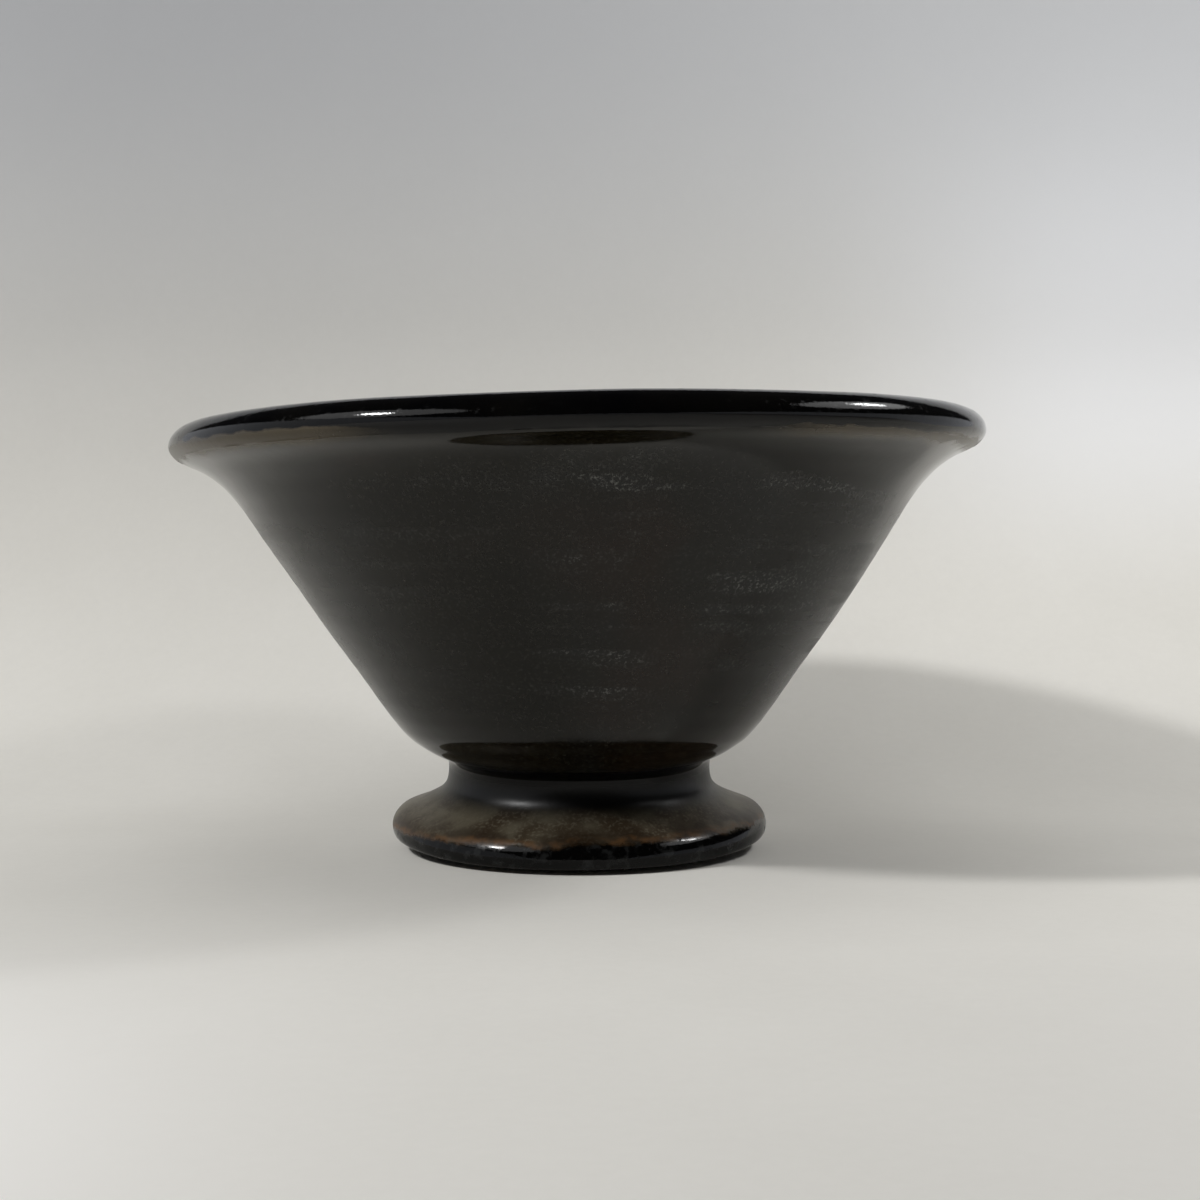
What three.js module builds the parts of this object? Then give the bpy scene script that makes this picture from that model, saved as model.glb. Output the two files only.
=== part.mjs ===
// A stoneware bowl on a pedestal foot, as a potter makes it: a thrown bowl and a thrown foot,
// luted together with slip, then glazed in three coats. Millimetres, +Z up.
// The origin is the middle of the bare ring that the bowl stands on.
import * as THREE from 'three';

// Lip: insets are measured in from the rim, drops down from the crest, slopes in degrees
const RIM_RADIUS = 82.5;
const BOWL_HEIGHT = 88;
const LIP_CREST_INSET = 6.1;
const LIP_NOSE_DROP = 4.5;
const LAP_INSET = 1.6;
const LAP_DROP = 7.1;
const LAP_SLOPE = 38;
const LIP_UNDERSIDE_INSET = 5.1;
const LIP_UNDERSIDE_DROP = 8.9;
const LIP_UNDERSIDE_SLOPE = 23;
const LIP_INSIDE_INSET = 12.5;
const LIP_INSIDE_DROP = 3.9;
const LIP_INSIDE_SLOPE = 43;

// Wall and floor of the bowl: the thickness of a wall counts the glaze on both its faces
const FLARE_INSET = 17.6;
const FLARE_DROP = 22.2;
const FLARE_SLOPE = 57;
const FLARE_WALL = 6.8;
const HEEL_RADIUS = 44;
const HEEL_HEIGHT = 35.1;
const HEEL_SLOPE = 53;
const HEEL_WALL = 7.3;
const FLOOR_THICKNESS = 6.5;

// Waist: the join lies just above its narrowest place, and the bowl's base spreads out from there
const WAIST_RADIUS = 27;
const WAIST_HEIGHT = 16.3;
const JOIN_HEIGHT = 19.5;
const BASE_FLARE = 1.7;
const BASE_SLOPE = 21;
const LEDGE_FLARE = 4.1;
const LEDGE_RISE = 0.8;
const LEDGE_SLOPE = 27;
const SLIP_BAND = 0.8;
const SLIP_BEAD = 0.7;
const SLIP_BEAD_SLOPE = 20;
const NECK_FLARE = 0.4;
const NECK_SLOPE = 62;
const NECK_WALL = 7.5;

// Foot: insets are measured in from its rounded edge. Its slope runs straight from the shoulder
// to just below the waist, where its flare is measured out from the waist.
const FOOT_RADIUS = 38.9;
const FOOT_EDGE_HEIGHT = 5.2;
const FOOT_SHOULDER_INSET = 3.7;
const FOOT_SHOULDER_HEIGHT = 9.7;
const FOOT_SLOPE = 24;
const SLOPE_TOP_FLARE = 3.3;
const SLOPE_TOP_HEIGHT = 11.9;
const RING_INSET = 6.9;
const RING_WIDTH = 4.2;
const RING_BEVEL = 0.5;
const HOLLOW_HEIGHT = 12;
const HOLLOW_SLOPE = 55;

// Glaze
const GLAZE_THICKNESS = 0.6;
const GLAZE_LINE_INSET = 4.9;
const GLAZE_LINE_HEIGHT = 0.45;
const GLAZE_LINE_SLOPE = 8;

// Facets: the sides of each turned piece, and the longest and sharpest steps of an outline
const SIDES = 48;
const STEP_LENGTH = 18;
const STEP_ANGLE = 22;

// Directions that an outline goes in, in degrees. It runs with the solid on its left.
const UP = 90;
const INWARDS = 180;
const DOWN = 270;

// A station is a point that an outline passes through, with its direction there
function station(radius, height, direction) {
  const angle = THREE.MathUtils.degToRad(direction);
  const along = new THREE.Vector2(Math.cos(angle), Math.sin(angle));
  return { point: new THREE.Vector2(radius, height), along, direction };
}

// The way out of the solid, to the right of an outline
function outOf(along) {
  return new THREE.Vector2(along.y, -along.x);
}

// The station on the other face of a wall, straight through it
function throughWall(from, thickness) {
  const point = from.point.clone().addScaledVector(outOf(from.along), -thickness);
  return station(point.x, point.y, from.direction + INWARDS);
}

// Between two stations runs a cubic curve, as round as an arc that turns as far
function stretch(from, to) {
  const turn = THREE.MathUtils.degToRad(Math.abs(to.direction - from.direction));
  const chord = from.point.distanceTo(to.point);
  const share = turn > 0 ? ((2 / 3) * Math.tan(turn / 4)) / Math.sin(turn / 2) : 1 / 3;
  const leaving = from.point.clone().addScaledVector(from.along, share * chord);
  const arriving = to.point.clone().addScaledVector(to.along, -share * chord);
  return new THREE.CubicBezierCurve(from.point, leaving, arriving, to.point);
}

// Points along a run of stations, each with the way out of the solid
function outline(...stations) {
  const samples = [{ point: stations[0].point, out: outOf(stations[0].along) }];
  for (let i = 1; i < stations.length; i += 1) {
    const curve = stretch(stations[i - 1], stations[i]);
    const turn = Math.abs(stations[i].direction - stations[i - 1].direction);
    const steps = Math.ceil(Math.max(turn / STEP_ANGLE, curve.getLength() / STEP_LENGTH));
    for (let step = 1; step <= steps; step += 1) {
      const out = outOf(curve.getTangent(step / steps));
      samples.push({ point: curve.getPoint(step / steps), out });
    }
  }
  return samples;
}

function finished(samples) {
  return samples.map(({ point }) => point.clone());
}

// The clay lies one coat of glaze below the finished surface
function clay(samples) {
  return samples.map(({ point, out }) => point.clone().addScaledVector(out, -GLAZE_THICKNESS));
}

function closed(section) {
  return [...section, section[0].clone()];
}

// A coat of glaze lies between the finished surface and the clay
function coat(samples) {
  return closed([...finished(samples), ...clay(samples).reverse()]);
}

// A section turned about the upright axis
function turned(name, section, finish) {
  const geometry = new THREE.LatheGeometry(section, SIDES);
  geometry.rotateX(Math.PI / 2);
  const mesh = new THREE.Mesh(geometry, new THREE.MeshStandardMaterial(finish));
  mesh.name = name;
  return mesh;
}

// Stations up the outside, from the lower edge of the glaze to the crest of the lip
const glazeLine = station(FOOT_RADIUS - GLAZE_LINE_INSET, GLAZE_LINE_HEIGHT, GLAZE_LINE_SLOPE);
const footEdge = station(FOOT_RADIUS, FOOT_EDGE_HEIGHT, UP);
const footShoulder = station(
  FOOT_RADIUS - FOOT_SHOULDER_INSET,
  FOOT_SHOULDER_HEIGHT,
  INWARDS - FOOT_SLOPE,
);
const slopeTop = station(WAIST_RADIUS + SLOPE_TOP_FLARE, SLOPE_TOP_HEIGHT, INWARDS - FOOT_SLOPE);
const waist = station(WAIST_RADIUS, WAIST_HEIGHT, UP);
const neckTop = station(WAIST_RADIUS + NECK_FLARE, JOIN_HEIGHT - SLIP_BAND, NECK_SLOPE);
const base = station(WAIST_RADIUS + BASE_FLARE, JOIN_HEIGHT, BASE_SLOPE);
const ledge = station(WAIST_RADIUS + LEDGE_FLARE, JOIN_HEIGHT + LEDGE_RISE, LEDGE_SLOPE);
const heel = station(HEEL_RADIUS, HEEL_HEIGHT, HEEL_SLOPE);
const flare = station(RIM_RADIUS - FLARE_INSET, BOWL_HEIGHT - FLARE_DROP, FLARE_SLOPE);
const lipUnderside = station(
  RIM_RADIUS - LIP_UNDERSIDE_INSET,
  BOWL_HEIGHT - LIP_UNDERSIDE_DROP,
  LIP_UNDERSIDE_SLOPE,
);
const lap = station(RIM_RADIUS - LAP_INSET, BOWL_HEIGHT - LAP_DROP, LAP_SLOPE);
const lipNose = station(RIM_RADIUS, BOWL_HEIGHT - LIP_NOSE_DROP, UP);
const lipCrest = station(RIM_RADIUS - LIP_CREST_INSET, BOWL_HEIGHT, INWARDS);

// The parts of the outside that each coat of glaze covers
const neckRun = outline(glazeLine, footEdge, footShoulder, slopeTop, waist, neckTop);
const slipRun = outline(neckTop, base);
const wallRun = outline(base, ledge, heel, flare, lipUnderside, lap);

// The slip joins two flat faces of clay: the top of the foot and the underside of the bowl
const footTop = clay(neckRun).at(-1);
const bowlUnderside = clay(wallRun)[0];
const boreRadius = WAIST_RADIUS - NECK_WALL;

// Stations over the lip and down the inside, to the middle of the floor
const lipInside = station(
  RIM_RADIUS - LIP_INSIDE_INSET,
  BOWL_HEIGHT - LIP_INSIDE_DROP,
  INWARDS + LIP_INSIDE_SLOPE,
);
const floorHeight = bowlUnderside.y + FLOOR_THICKNESS + GLAZE_THICKNESS;
const floorMiddle = station(0, floorHeight, INWARDS);
const insideRun = outline(
  lap,
  lipNose,
  lipCrest,
  lipInside,
  throughWall(flare, FLARE_WALL),
  throughWall(heel, HEEL_WALL),
  floorMiddle,
);

function bowlBody() {
  const middle = new THREE.Vector2(0, bowlUnderside.y);
  const section = [middle, ...clay(wallRun), ...clay(insideRun).slice(1)];
  return turned('bowl_body', section, { color: '#6b5646', roughness: 0.85, metalness: 0 });
}

function pedestalFoot() {
  const ringOuter = FOOT_RADIUS - RING_INSET;
  const ringInner = ringOuter - RING_WIDTH;
  const hollowTop = station(boreRadius, HOLLOW_HEIGHT, DOWN);
  const hollowFoot = station(ringInner - RING_BEVEL, RING_BEVEL, DOWN + INWARDS / 2 - HOLLOW_SLOPE);
  const section = closed([
    new THREE.Vector2(ringInner, 0),
    new THREE.Vector2(ringOuter, 0),
    ...clay(neckRun),
    new THREE.Vector2(boreRadius, footTop.y),
    ...finished(outline(hollowTop, hollowFoot)),
  ]);
  return turned('pedestal_foot', section, { color: '#6b5646', roughness: 0.85, metalness: 0 });
}

function lutingSlip() {
  const beadHeight = (footTop.y + bowlUnderside.y) / 2;
  const bead = outline(
    station(boreRadius, bowlUnderside.y, INWARDS + SLIP_BEAD_SLOPE),
    station(boreRadius - SLIP_BEAD, beadHeight, DOWN),
    station(boreRadius, footTop.y, DOWN + INWARDS / 2 - SLIP_BEAD_SLOPE),
  );
  const section = [...clay(slipRun), ...finished(bead)];
  return turned('luting_slip', closed(section), { color: '#7d6654', roughness: 0.9, metalness: 0 });
}

function linerGlaze() {
  const section = [...clay(insideRun).reverse(), ...finished(insideRun)];
  return turned('liner_glaze', section, { color: '#0e0d0c', roughness: 0.1, metalness: 0 });
}

function outerGlaze() {
  return turned('outer_glaze', coat(wallRun), { color: '#1c1915', roughness: 0.14, metalness: 0 });
}

function footGlaze() {
  const section = coat([...neckRun, ...slipRun.slice(1)]);
  return turned('foot_glaze', section, { color: '#453b2c', roughness: 0.35, metalness: 0.4 });
}

const bowl = new THREE.Group();
bowl.name = 'footed_bowl';
bowl.add(bowlBody(), pedestalFoot(), lutingSlip());
bowl.add(linerGlaze(), outerGlaze(), footGlaze());

export default bowl;
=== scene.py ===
# %% [markdown]
# # A glazed stoneware bowl on a turned foot
# The bowl was thrown on a wheel as two lots of clay, a bowl and a foot, stuck together with slip and
# then glazed in three coats. The construction is loaded first as a fixed frame of plain, faceted
# solids. Everything after that gives those solids the surface of the real pot, in the same place and
# at the same size.

# %% Load the construction
import math

import bpy
import numpy as np
from mathutils import Matrix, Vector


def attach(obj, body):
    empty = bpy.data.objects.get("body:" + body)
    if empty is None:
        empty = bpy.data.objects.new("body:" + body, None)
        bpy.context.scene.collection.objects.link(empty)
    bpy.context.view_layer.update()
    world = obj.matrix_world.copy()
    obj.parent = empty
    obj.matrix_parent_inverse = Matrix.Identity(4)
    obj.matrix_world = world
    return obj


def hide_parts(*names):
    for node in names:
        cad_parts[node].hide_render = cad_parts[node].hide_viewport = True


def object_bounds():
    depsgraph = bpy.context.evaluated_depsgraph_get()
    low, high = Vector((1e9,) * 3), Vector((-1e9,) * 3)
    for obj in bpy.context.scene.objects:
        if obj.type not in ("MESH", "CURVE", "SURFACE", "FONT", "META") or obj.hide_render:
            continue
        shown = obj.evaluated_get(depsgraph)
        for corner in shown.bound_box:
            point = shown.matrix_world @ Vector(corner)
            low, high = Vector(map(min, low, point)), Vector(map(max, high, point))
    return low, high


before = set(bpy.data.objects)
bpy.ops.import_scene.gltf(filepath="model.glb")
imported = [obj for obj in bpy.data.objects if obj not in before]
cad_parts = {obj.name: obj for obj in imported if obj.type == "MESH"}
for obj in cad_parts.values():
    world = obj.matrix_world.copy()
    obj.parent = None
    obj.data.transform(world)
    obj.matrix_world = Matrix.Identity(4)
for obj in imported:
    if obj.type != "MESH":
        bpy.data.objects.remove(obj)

MM = 0.001
cad_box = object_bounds()
bowl_height = cad_box[1].z
print("construction box, mm:", [round((high - low) / MM, 1) for low, high in zip(*cad_box)])

# %% [markdown]
# ## The camera
# The camera could be placed by eye, but a pot is round, so its outline in the picture fixes where the
# camera stood: close to the table, below the rim, tipped down a little and turned by less than a degree.
# The lens follows from the focal length in pixels of a square picture. Angles are in degrees.

# %% Camera
PICTURE_PIXELS = 1200
FOCAL_PIXELS = 1850
SENSOR_WIDTH = 36
CAMERA_DISTANCE = 383.9 * MM
CAMERA_HEIGHT = 61 * MM
CAMERA_PITCH = -1.48
CAMERA_YAW = 0.653
CAMERA_ROLL = 0.15


def turn_about(axis, degrees):
    return Matrix.Rotation(math.radians(degrees), 4, axis)


camera = bpy.data.objects.new("camera", bpy.data.cameras.new("camera"))
bpy.context.scene.collection.objects.link(camera)
camera.data.sensor_width = SENSOR_WIDTH
camera.data.lens = SENSOR_WIDTH * FOCAL_PIXELS / PICTURE_PIXELS
camera.data.clip_start = 1 * MM
camera.matrix_world = (
    Matrix.Translation((0, -CAMERA_DISTANCE, CAMERA_HEIGHT))
    @ turn_about("Z", -CAMERA_YAW)
    @ turn_about("X", 90 + CAMERA_PITCH)
    @ turn_about("Z", -CAMERA_ROLL)
)
bpy.context.scene.camera = camera
bpy.context.scene.view_settings.view_transform = "Standard"
print("lens, mm:", camera.data.lens)

# %% [markdown]
# ## A short way to write node trees
# Materials and Geometry Nodes are both trees of nodes joined by links. Written out in full they are
# long, so this small class adds a node, sets or links its inputs and hands back its output, and the
# steps below then read like formulas.


# %% Node helper
class Sketch:
    """Adds nodes to one tree. An input may be a plain value or another node's output."""

    def __init__(self, tree):
        self.tree = tree

    def node(self, kind, inputs=None, **settings):
        made = self.tree.nodes.new(kind)
        for name, value in settings.items():
            setattr(made, name, value)
        for socket, value in (inputs or {}).items():
            self.feed(made.inputs[socket], value)
        return made

    def feed(self, socket, value):
        if isinstance(value, bpy.types.NodeSocket):
            self.tree.links.new(value, socket)
        else:
            socket.default_value = value

    def math(self, operation, *values):
        return self.node("ShaderNodeMath", dict(enumerate(values)), operation=operation).outputs[0]

    def plus(self, first, second):
        return self.math("ADD", first, second)

    def minus(self, first, second):
        return self.math("SUBTRACT", first, second)

    def times(self, first, second):
        return self.math("MULTIPLY", first, second)

    def split(self, vector):
        return self.node("ShaderNodeSeparateXYZ", {0: vector}).outputs

    def join(self, x, y, z):
        return self.node("ShaderNodeCombineXYZ", {0: x, 1: y, 2: z}).outputs[0]

    def noise(self, where, scale, detail=2.0, roughness=0.5):
        """A cloudy pattern. The scale is about how many of its lumps fit in a metre."""
        inputs = {"Vector": where, "Scale": scale, "Detail": detail, "Roughness": roughness}
        return self.node("ShaderNodeTexNoise", inputs).outputs[0]

    def rise(self, value, low, high):
        """0 below low, 1 above high, and a smooth rise between them. It falls if low is the higher."""
        inputs = {"Value": value, "From Min": low, "From Max": high}
        made = self.node("ShaderNodeMapRange", inputs, interpolation_type="SMOOTHSTEP")
        return made.outputs[0]

    def band(self, value, start, full, fading, gone):
        """A share that grows from start to full and fades again from fading to gone."""
        return self.times(self.rise(value, start, full), self.rise(value, gone, fading))

    def blend(self, share, first, second):
        """A colour between two others."""
        made = self.node("ShaderNodeMix", {0: share}, data_type="RGBA")
        self.feed(made.inputs[6], first)
        self.feed(made.inputs[7], second)
        return made.outputs[2]

    def slide(self, share, first, second):
        """A number between two others."""
        return self.node("ShaderNodeMix", {0: share, 2: first, 3: second}).outputs[0]


def new_material(name):
    """A material with a plain Principled shader, a sketch of its tree, and the shader itself."""
    material = bpy.data.materials.new(name)
    material.use_nodes = True
    return material, Sketch(material.node_tree), material.node_tree.nodes["Principled BSDF"]


print("steps of the helper:", [step for step in vars(Sketch) if not step.startswith("_")])

# %% [markdown]
# ## The table and backdrop
# The bowl stands on pale paper that curves up close behind it, so no edge shows and the shadows climb
# the curve. A plane and a second plane behind it would leave a corner, so one strip of faces makes it:
# a wide, flat table, then a quarter circle and an upright sheet, which are narrower.

# %% Paper sweep
PAPER_FRONT = -0.9
PAPER_BEND_START = 40 * MM
PAPER_BEND_RADIUS = 130 * MM
PAPER_TOP = 0.25
TABLE_HALF_WIDTH = 0.8
BACKDROP_HALF_WIDTH = 0.25
PAPER_BEND_STEPS = 32


def paper_profile():
    bend = [math.pi / 2 * step / PAPER_BEND_STEPS for step in range(PAPER_BEND_STEPS + 1)]
    yield TABLE_HALF_WIDTH, PAPER_FRONT, 0.0
    yield TABLE_HALF_WIDTH, PAPER_BEND_START - PAPER_BEND_RADIUS, 0.0
    for angle in bend:
        lift = PAPER_BEND_RADIUS * (1 - math.cos(angle))
        yield BACKDROP_HALF_WIDTH, PAPER_BEND_START + PAPER_BEND_RADIUS * math.sin(angle), lift
    yield BACKDROP_HALF_WIDTH, PAPER_BEND_START + PAPER_BEND_RADIUS, PAPER_TOP


profile = list(paper_profile())
corners = [(side * half_width, y, z) for half_width, y, z in profile for side in (-1, 1)]
strips = [(2 * i, 2 * i + 1, 2 * i + 3, 2 * i + 2) for i in range(len(profile) - 1)]
paper_mesh = bpy.data.meshes.new("paper_sweep")
paper_mesh.from_pydata(corners, [], strips)
paper_mesh.shade_smooth()
paper = bpy.data.objects.new("paper_sweep", paper_mesh)
bpy.context.scene.collection.objects.link(paper)
print("paper strips:", len(strips))

# %% [markdown]
# The paper isn't evenly lit, so its colour has light and shade painted in: painted light near the table's
# front corners, a painted glow on the right of the curve, and painted shade, cooler and dimmer, up the
# sheet and to the left. More lamps could do this, but each would light the bowl as well, so the paper's own
# colour does it. Cloudy grain and fine fibres break it up.

# %% Paper colour
PAPER_SHADE = (0.76, 0.742, 0.69, 1)
PAPER_LIGHT = (0.87, 0.852, 0.8, 1)
FRONT_LIGHT = (0.99, 0.972, 0.935, 1)
GLOW = (1.0, 1.0, 1.0, 1)
COOL_SHADE_TOP = (0.745, 0.77, 0.815, 1)
DUSK = (0.01, 0.01, 0.02, 1)
CLOUD_SHARE = 0.6
FIBRE_SHARE = 0.4
LEFT_CORNER = 1.3
RIGHT_CORNER = 0.5
MIDDLE_FRONT = 0.15
COOL_SHADE_SHARE = 0.7
DUSK_ABOVE = 0.25
DUSK_LEFT = 0.2

paper_material, sketch, shader = new_material("pale paper")
on_paper = sketch.node("ShaderNodeTexCoord").outputs["Object"]
across, depth, up = sketch.split(on_paper)
clouds = sketch.times(sketch.noise(on_paper, 25, 5), CLOUD_SHARE)
fibres = sketch.times(sketch.noise(on_paper, 420, 4, 0.7), FIBRE_SHARE)
tone = sketch.blend(sketch.plus(clouds, fibres), PAPER_SHADE, PAPER_LIGHT)

# painted light: the paper is paler towards the table's front corners
to_left = sketch.times(sketch.rise(across, -10 * MM, -110 * MM), LEFT_CORNER)
to_right = sketch.times(sketch.rise(across, 20 * MM, 120 * MM), RIGHT_CORNER)
to_front = sketch.rise(depth, -60 * MM, -220 * MM)
lit_front = sketch.times(to_front, sketch.plus(sketch.plus(to_left, to_right), MIDDLE_FRONT))
# a painted glow on the right of the curve
on_curve = sketch.band(up, 40 * MM, 110 * MM, 150 * MM, 230 * MM)
glow = sketch.times(on_curve, sketch.rise(across, 50 * MM, 160 * MM))
# painted shade: cooler and dimmer up the sheet, and dimmer still to the far left
cool = sketch.times(sketch.rise(up, 60 * MM, 230 * MM), COOL_SHADE_SHARE)
dusk_above = sketch.times(sketch.rise(up, 80 * MM, 250 * MM), DUSK_ABOVE)
far_left = sketch.times(sketch.rise(up, -20 * MM, 100 * MM), sketch.rise(across, 110 * MM, -160 * MM))
dusk = sketch.plus(dusk_above, sketch.times(far_left, DUSK_LEFT))
for share, colour in ((lit_front, FRONT_LIGHT), (glow, GLOW), (cool, COOL_SHADE_TOP), (dusk, DUSK)):
    tone = sketch.blend(share, tone, colour)
sketch.feed(shader.inputs["Base Color"], tone)
shader.inputs["Roughness"].default_value = 0.9
shader.inputs["Specular IOR Level"].default_value = 0.2
print("nodes in the paper's colour:", len(paper_material.node_tree.nodes))

# %% [markdown]
# It is stage, not part of the bowl, so its back is clear to the camera: the bowl can be looked at from
# behind and from below.

# %% Clear back
from_behind = sketch.times(
    sketch.node("ShaderNodeNewGeometry").outputs["Backfacing"],
    sketch.node("ShaderNodeLightPath").outputs["Is Camera Ray"],
)
clear = sketch.node("ShaderNodeBsdfTransparent").outputs[0]
paper_surface = sketch.node("ShaderNodeMixShader", {0: from_behind, 1: shader.outputs[0], 2: clear})
paper_output = paper_material.node_tree.nodes["Material Output"]
sketch.feed(paper_output.inputs["Surface"], paper_surface.outputs[0])
paper_mesh.materials.append(paper_material)
print("nodes in the paper:", len(paper_material.node_tree.nodes))

# %% [markdown]
# ## The lamps
# The two bright marks on the rim and the edges of the two shadows tell where the light came from: a
# stronger lamp up on the left and in front, and a small, near one on the right. Round area lamps give
# shadows with soft edges and round reflections. Each has a wide, dim shade round it, which gives the
# bright marks their tails. A soft light from the ceiling fills the shadows. It isn't mirrored in the
# glaze, because no such mark shows there.

# %% Lamps
LAMPS = {
    "key_lamp": {"place": (-0.57, -0.315, 0.585), "width": 80 * MM, "height": 80 * MM, "watts": 3.32},
    "key_shade": {"place": (-0.58, -0.32, 0.595), "width": 700 * MM, "height": 380 * MM, "watts": 1.1},
    "side_lamp": {"place": (0.258, 0.002, 0.276), "width": 45 * MM, "height": 45 * MM, "watts": 0.21},
    "side_shade": {"place": (0.27, -0.025, 0.281), "width": 230 * MM, "height": 120 * MM, "watts": 0.165},
    "ceiling": {"place": (0, -0.03, 0.7), "width": 500 * MM, "height": 500 * MM, "watts": 0.58},
}
NOT_MIRRORED = ("ceiling",)


def add_lamp(name, place, width, height, watts):
    light = bpy.data.lights.new(name, "AREA")
    light.shape = "ELLIPSE"
    light.size = width
    light.size_y = height
    light.energy = watts
    lamp = bpy.data.objects.new(name, light)
    bpy.context.scene.collection.objects.link(lamp)
    lamp.location = place
    lamp.visible_glossy = name not in NOT_MIRRORED
    lamp.rotation_mode = "QUATERNION"
    lamp.rotation_quaternion = (-lamp.location).to_track_quat("-Z", "Y")


for name, settings in LAMPS.items():
    add_lamp(name, **settings)
    print(name, "at", settings["place"])

# %% [markdown]
# ## The room
# A glossy pot is mostly a mirror, so the room decides how it looks. What the glaze mirrors is a dark
# room with pale walls, low down on the left and the right, that show in the ends of the lip. The camera
# itself sees a pale room past the edges of the paper, so the background stays light from every angle.

# %% World
PALE_ROOM = (0.6, 0.595, 0.585, 1)
DIM_ROOM = (0.07, 0.07, 0.071, 1)
MIRRORED_ROOM = (0.02, 0.02, 0.022, 1)
MIRRORED_WALL = (0.62, 0.64, 0.68, 1)
LEFT_WALL_TOP = 0.5
RIGHT_WALL_TOP = 0.26
WALL_START = 0.35
WALL_FULL = 0.9
WALL_EDGE = 0.05

world = bpy.data.worlds.new("room")
bpy.context.scene.world = world
world.use_nodes = True
room = Sketch(world.node_tree)
rays = room.node("ShaderNodeLightPath").outputs
direct = room.math("MAXIMUM", rays["Is Camera Ray"], rays["Is Transmission Ray"])
across, _, up = room.split(room.node("ShaderNodeTexCoord").outputs["Generated"])
left_top = room.times(room.rise(across, -WALL_START, -WALL_FULL), LEFT_WALL_TOP)
right_top = room.times(room.rise(across, WALL_START, WALL_FULL), RIGHT_WALL_TOP)
below_top = room.rise(room.minus(room.plus(left_top, right_top), up), 0.0, WALL_EDGE)
mirrored = room.blend(below_top, MIRRORED_ROOM, MIRRORED_WALL)
indoors = room.blend(rays["Is Glossy Ray"], DIM_ROOM, mirrored)
background = world.node_tree.nodes["Background"]
room.feed(background.inputs["Color"], room.blend(direct, indoors, PALE_ROOM))
print("nodes in the room:", len(world.node_tree.nodes))

# %% [markdown]
# ## Reading the outline off the solids
# Each solid was turned on an axis, so a cut through it on one side of the axis says all about its
# shape. The cut is read from the solid's own corners: those that lie in the upright plane through +X,
# walked from neighbour to neighbour. Nothing has to be measured twice, and if the construction changes
# the surface follows.

# %% Half sections
IN_PLANE = 0.002 * MM
SHARP_CORNER = 50


def half_section(node):
    """Points (radius, height) round a solid's section, with the solid on the left of the path."""
    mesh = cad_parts[node].data
    neighbours = {}
    for polygon in mesh.polygons:
        ends = [mesh.vertices[i].co for i in polygon.vertices]
        for start, end in zip(ends, ends[1:] + ends[:1]):
            if max(abs(start.y), abs(end.y), -start.x, -end.x) < IN_PLANE:
                pair = [(round(co.x, 6), round(co.z, 6)) for co in (start, end)]
                neighbours.setdefault(pair[0], set()).add(pair[1])
                neighbours.setdefault(pair[1], set()).add(pair[0])
    path = [min(neighbours, key=lambda point: len(neighbours[point] - {point}))]
    onward = neighbours[path[0]] - set(path)
    while onward:
        path.append(onward.pop())
        onward = neighbours[path[-1]] - set(path)
    if path[0] in neighbours[path[-1]]:
        path.append(path[0])
    points = np.array(path)
    ahead = np.roll(points, -1, axis=0)
    area = np.sum(points[:, 0] * ahead[:, 1] - ahead[:, 0] * points[:, 1])
    return points if area > 0 else points[::-1]


def turning(before, after):
    """How far a path turns between steps, in degrees."""
    across = before[:, 0] * after[:, 1] - before[:, 1] * after[:, 0]
    along = np.sum(before * after, axis=1)
    return np.degrees(np.abs(np.arctan2(across, along)))


def runs_between_corners(points):
    """The smooth runs of a section, cut where it turns sharply."""
    if np.allclose(points[0], points[-1]):
        ring = points[:-1]
        ahead = np.roll(ring, -1, axis=0) - ring
        sharp = np.flatnonzero(turning(np.roll(ahead, 1, axis=0), ahead) > SHARP_CORNER)
        points = np.roll(ring, -sharp[0], axis=0)
        points = np.vstack([points, points[:1]])
        cuts = [*(sharp - sharp[0]), len(ring)]
    else:
        ahead = np.diff(points, axis=0)
        sharp = np.flatnonzero(turning(ahead[:-1], ahead[1:]) > SHARP_CORNER) + 1
        cuts = [0, *sharp, len(points) - 1]
    return [points[first : last + 1] for first, last in zip(cuts, cuts[1:])]


def climb(run):
    """How much higher a run ends than it starts."""
    return run[-1, 1] - run[0, 1]


foot_run = max(runs_between_corners(half_section("foot_glaze")), key=climb)
wall_run = max(runs_between_corners(half_section("outer_glaze")), key=climb)
liner_run = runs_between_corners(half_section("liner_glaze"))[-1]
for name, run in (("foot", foot_run), ("wall", wall_run), ("liner", liner_run)):
    print(name, "runs from", (run[0] / MM).round(2), "to", (run[-1] / MM).round(2))

# %% [markdown]
# ## One smooth outline
# The solids have facets a few millimetres long. Straight facets would break the reflections, so a
# cubic spline runs through all their corners, from the lower edge of the glaze over the lip to the
# middle of the floor. The points are mirrored past the middle, so that the floor is level there.

# %% Smooth outline
OUTLINE_STEP = 0.5 * MM


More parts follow.
